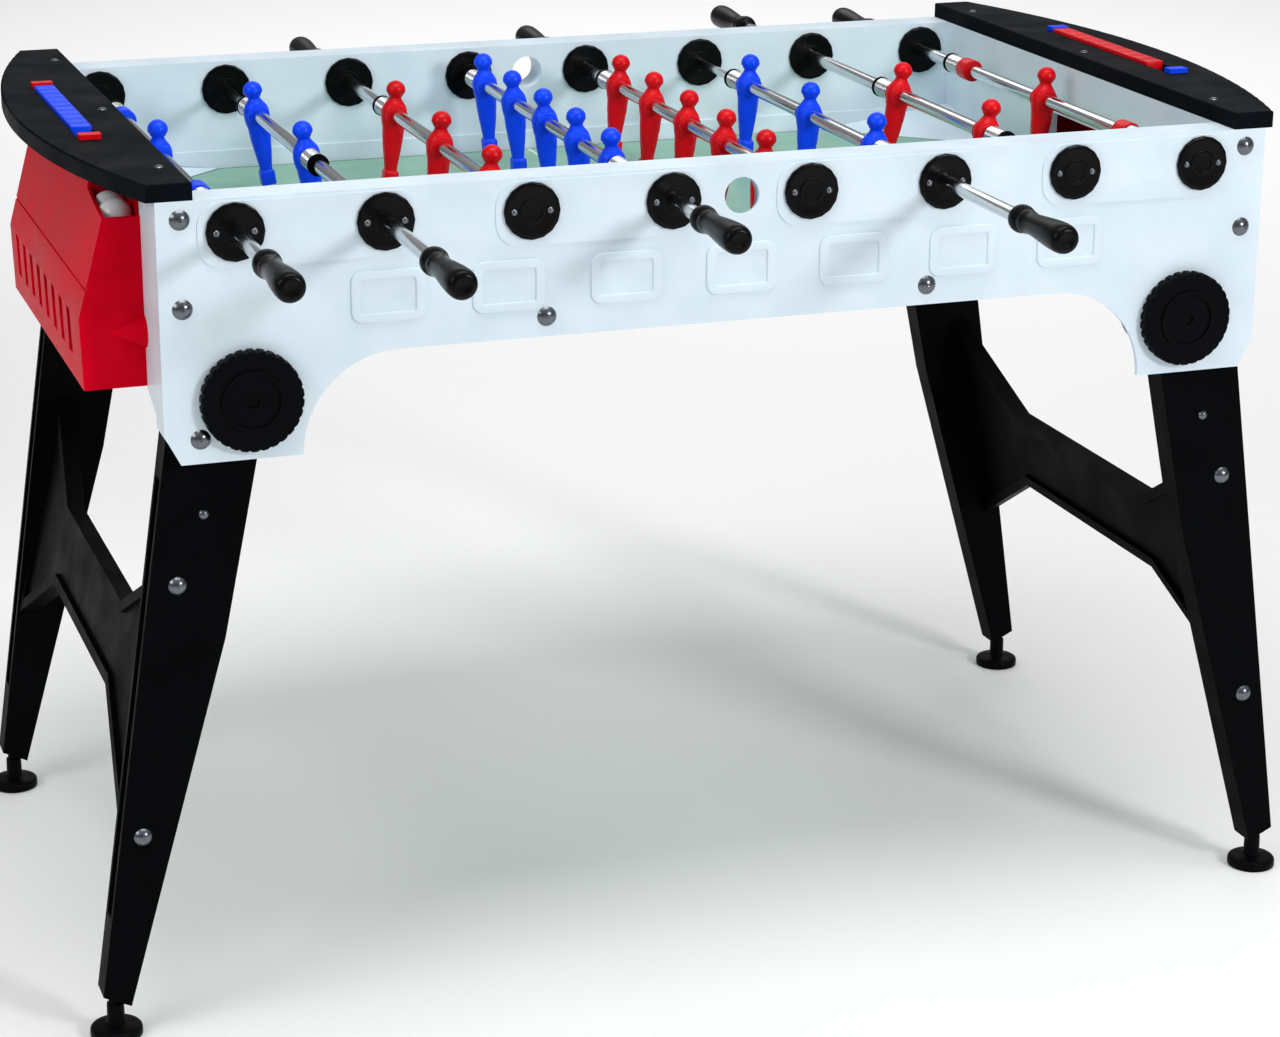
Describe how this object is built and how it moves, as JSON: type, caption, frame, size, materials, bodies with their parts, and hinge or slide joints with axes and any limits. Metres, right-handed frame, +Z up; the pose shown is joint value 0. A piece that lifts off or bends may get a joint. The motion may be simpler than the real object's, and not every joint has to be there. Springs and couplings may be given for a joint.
{
  "type": "foosball table",
  "caption": "Free-standing foosball table on folding legs, with sliding and turning player rods, goal boxes that return the balls, score beads and round clamp knobs.",
  "frame": {"origin": "on the floor, under the middle of the playing field", "axes": "+X along the table to the right goal box, +Y to the back, +Z up"},
  "size_m": [1.3712, 1.326, 0.896],
  "materials": {
    "white_plastic": "moulded white plastic, satin",
    "field_green": "pale green printed board, satin",
    "red_plastic": "moulded red plastic, satin",
    "red_player": "moulded red plastic, gloss",
    "blue_player": "moulded blue plastic, gloss",
    "black_plastic": "moulded black plastic, satin",
    "black_gloss": "moulded black plastic, gloss",
    "chrome": "polished chrome",
    "ball_white": "white plastic, gloss"
  },
  "bodies": {
    "cabinet": {"front_side_panel": "white_plastic", "back_side_panel": "white_plastic", "playing_field": "field_green", "left_end_wall": "white_plastic", "right_end_wall": "white_plastic", "bearings": "black_gloss", "guide_cores": "chrome", "left_end_cap": "black_plastic", "right_end_cap": "black_plastic", "score_blocks": "red_player", "left_goal_box": "red_plastic", "right_goal_box": "red_plastic", "cabinet_screws": "chrome"},
    "rod_1_slider": {"rod_1_bumpers": "chrome"},
    "rod_1": {"rod_1_tube": "chrome", "rod_1_handle": "black_gloss", "rod_1_players": "blue_player"},
    "rod_2_slider": {"rod_2_bumpers": "chrome"},
    "rod_2": {"rod_2_tube": "chrome", "rod_2_handle": "black_gloss", "rod_2_players": "blue_player"},
    "rod_3_slider": {"rod_3_bumpers": "chrome"},
    "rod_3": {"rod_3_tube": "chrome", "rod_3_handle": "black_gloss", "rod_3_players": "red_player"},
    "rod_4_slider": {"rod_4_bumpers": "chrome"},
    "rod_4": {"rod_4_tube": "chrome", "rod_4_handle": "black_gloss", "rod_4_players": "blue_player"},
    "rod_5_slider": {"rod_5_bumpers": "chrome"},
    "rod_5": {"rod_5_tube": "chrome", "rod_5_handle": "black_gloss", "rod_5_players": "red_player"},
    "rod_6_slider": {"rod_6_bumpers": "chrome"},
    "rod_6": {"rod_6_tube": "chrome", "rod_6_handle": "black_gloss", "rod_6_players": "blue_player"},
    "rod_7_slider": {"rod_7_bumpers": "chrome"},
    "rod_7": {"rod_7_tube": "chrome", "rod_7_handle": "black_gloss", "rod_7_players": "red_player"},
    "rod_8_slider": {"rod_8_bumpers": "chrome"},
    "rod_8": {"rod_8_tube": "chrome", "rod_8_handle": "black_gloss", "rod_8_players": "red_player"},
    "left_legs": {"left_leg_frame": "black_plastic", "left_leg_bolts": "chrome"},
    "front_left_foot_body": {"front_left_foot": "black_plastic"},
    "front_left_knob_body": {"front_left_knob": "black_plastic"},
    "back_left_foot_body": {"back_left_foot": "black_plastic"},
    "back_left_knob_body": {"back_left_knob": "black_plastic"},
    "right_legs": {"right_leg_frame": "black_plastic", "right_leg_bolts": "chrome"},
    "front_right_foot_body": {"front_right_foot": "black_plastic"},
    "front_right_knob_body": {"front_right_knob": "black_plastic"},
    "back_right_foot_body": {"back_right_foot": "black_plastic"},
    "back_right_knob_body": {"back_right_knob": "black_plastic"},
    "left_beads": {"left_score_beads": "blue_player"},
    "right_beads": {"right_score_beads": "red_player"},
    "loose_balls": {"balls": "ball_white"}
  },
  "joints": [
    {"name": "rod_1_push", "type": "slide", "parent": "cabinet", "child": "rod_1_slider", "axis": [0, 1, 0], "range_m": [-0.0695, 0.0895]},
    {"name": "rod_1_spin", "type": "hinge", "parent": "rod_1_slider", "child": "rod_1", "pos_m": [-0.5145, -0.01, 0.841], "axis": [0, 1, 0], "range_deg": [-200, 20]},
    {"name": "rod_2_push", "type": "slide", "parent": "cabinet", "child": "rod_2_slider", "axis": [0, 1, 0], "range_m": [-0.2205, 0.1045]},
    {"name": "rod_2_spin", "type": "hinge", "parent": "rod_2_slider", "child": "rod_2", "pos_m": [-0.3675, 0.058, 0.841], "axis": [0, 1, 0], "continuous": true},
    {"name": "rod_3_push", "type": "slide", "parent": "cabinet", "child": "rod_3_slider", "axis": [0, 1, 0], "range_m": [-0.0395, 0.1495]},
    {"name": "rod_3_spin", "type": "hinge", "parent": "rod_3_slider", "child": "rod_3", "pos_m": [-0.2205, -0.055, 0.841], "axis": [0, 1, 0], "continuous": true},
    {"name": "rod_4_push", "type": "slide", "parent": "cabinet", "child": "rod_4_slider", "axis": [0, 1, 0], "range_m": [-0.0855, 0.0115]},
    {"name": "rod_4_spin", "type": "hinge", "parent": "rod_4_slider", "child": "rod_4", "pos_m": [-0.0735, 0.037, 0.841], "axis": [0, 1, 0], "continuous": true},
    {"name": "rod_5_push", "type": "slide", "parent": "cabinet", "child": "rod_5_slider", "axis": [0, 1, 0], "range_m": [-0.0285, 0.0685]},
    {"name": "rod_5_spin", "type": "hinge", "parent": "rod_5_slider", "child": "rod_5", "pos_m": [0.0735, -0.02, 0.841], "axis": [0, 1, 0], "continuous": true},
    {"name": "rod_6_push", "type": "slide", "parent": "cabinet", "child": "rod_6_slider", "axis": [0, 1, 0], "range_m": [-0.0775, 0.1115]},
    {"name": "rod_6_spin", "type": "hinge", "parent": "rod_6_slider", "child": "rod_6", "pos_m": [0.2205, -0.017, 0.841], "axis": [0, 1, 0], "continuous": true},
    {"name": "rod_7_push", "type": "slide", "parent": "cabinet", "child": "rod_7_slider", "axis": [0, 1, 0], "range_m": [-0.1115, 0.2135]},
    {"name": "rod_7_spin", "type": "hinge", "parent": "rod_7_slider", "child": "rod_7", "pos_m": [0.3675, -0.051, 0.841], "axis": [0, 1, 0], "continuous": true},
    {"name": "rod_8_push", "type": "slide", "parent": "cabinet", "child": "rod_8_slider", "axis": [0, 1, 0], "range_m": [-0.0675, 0.0915]},
    {"name": "rod_8_spin", "type": "hinge", "parent": "rod_8_slider", "child": "rod_8", "pos_m": [0.5145, -0.012, 0.841], "axis": [0, 1, 0], "range_deg": [-25, 195]},
    {"name": "left_legs_fold", "type": "hinge", "parent": "cabinet", "child": "left_legs", "pos_m": [-0.5045, 0, 0.675], "axis": [0, -1, 0], "range_deg": [0, 103]},
    {"name": "front_left_foot_level", "type": "hinge", "parent": "left_legs", "child": "front_left_foot_body", "pos_m": [-0.65862, -0.3425, 0.02], "axis": [0, 0, 1], "continuous": true},
    {"name": "front_left_knob_clamp", "type": "hinge", "parent": "cabinet", "child": "front_left_knob_body", "pos_m": [-0.5045, -0.39, 0.675], "axis": [0, 1, 0], "continuous": true},
    {"name": "back_left_foot_level", "type": "hinge", "parent": "left_legs", "child": "back_left_foot_body", "pos_m": [-0.65862, 0.3425, 0.02], "axis": [0, 0, 1], "continuous": true},
    {"name": "back_left_knob_clamp", "type": "hinge", "parent": "cabinet", "child": "back_left_knob_body", "pos_m": [-0.5045, 0.39, 0.675], "axis": [0, 1, 0], "continuous": true},
    {"name": "right_legs_fold", "type": "hinge", "parent": "cabinet", "child": "right_legs", "pos_m": [0.5045, 0, 0.675], "axis": [0, 1, 0], "range_deg": [0, 91]},
    {"name": "front_right_foot_level", "type": "hinge", "parent": "right_legs", "child": "front_right_foot_body", "pos_m": [0.65862, -0.3425, 0.02], "axis": [0, 0, 1], "continuous": true},
    {"name": "front_right_knob_clamp", "type": "hinge", "parent": "cabinet", "child": "front_right_knob_body", "pos_m": [0.5045, -0.39, 0.675], "axis": [0, 1, 0], "continuous": true},
    {"name": "back_right_foot_level", "type": "hinge", "parent": "right_legs", "child": "back_right_foot_body", "pos_m": [0.65862, 0.3425, 0.02], "axis": [0, 0, 1], "continuous": true},
    {"name": "back_right_knob_clamp", "type": "hinge", "parent": "cabinet", "child": "back_right_knob_body", "pos_m": [0.5045, 0.39, 0.675], "axis": [0, 1, 0], "continuous": true},
    {"name": "left_score", "type": "slide", "parent": "cabinet", "child": "left_beads", "axis": [0, 1, 0], "range_m": [-0.026, 0.006]},
    {"name": "right_score", "type": "slide", "parent": "cabinet", "child": "right_beads", "axis": [0, 1, 0], "range_m": [-0.031, 0.001]},
    {"name": "balls_roll", "type": "slide", "parent": "cabinet", "child": "loose_balls", "axis": [0, 1, 0], "range_m": [-0.0185, 0.0045]}
  ]
}
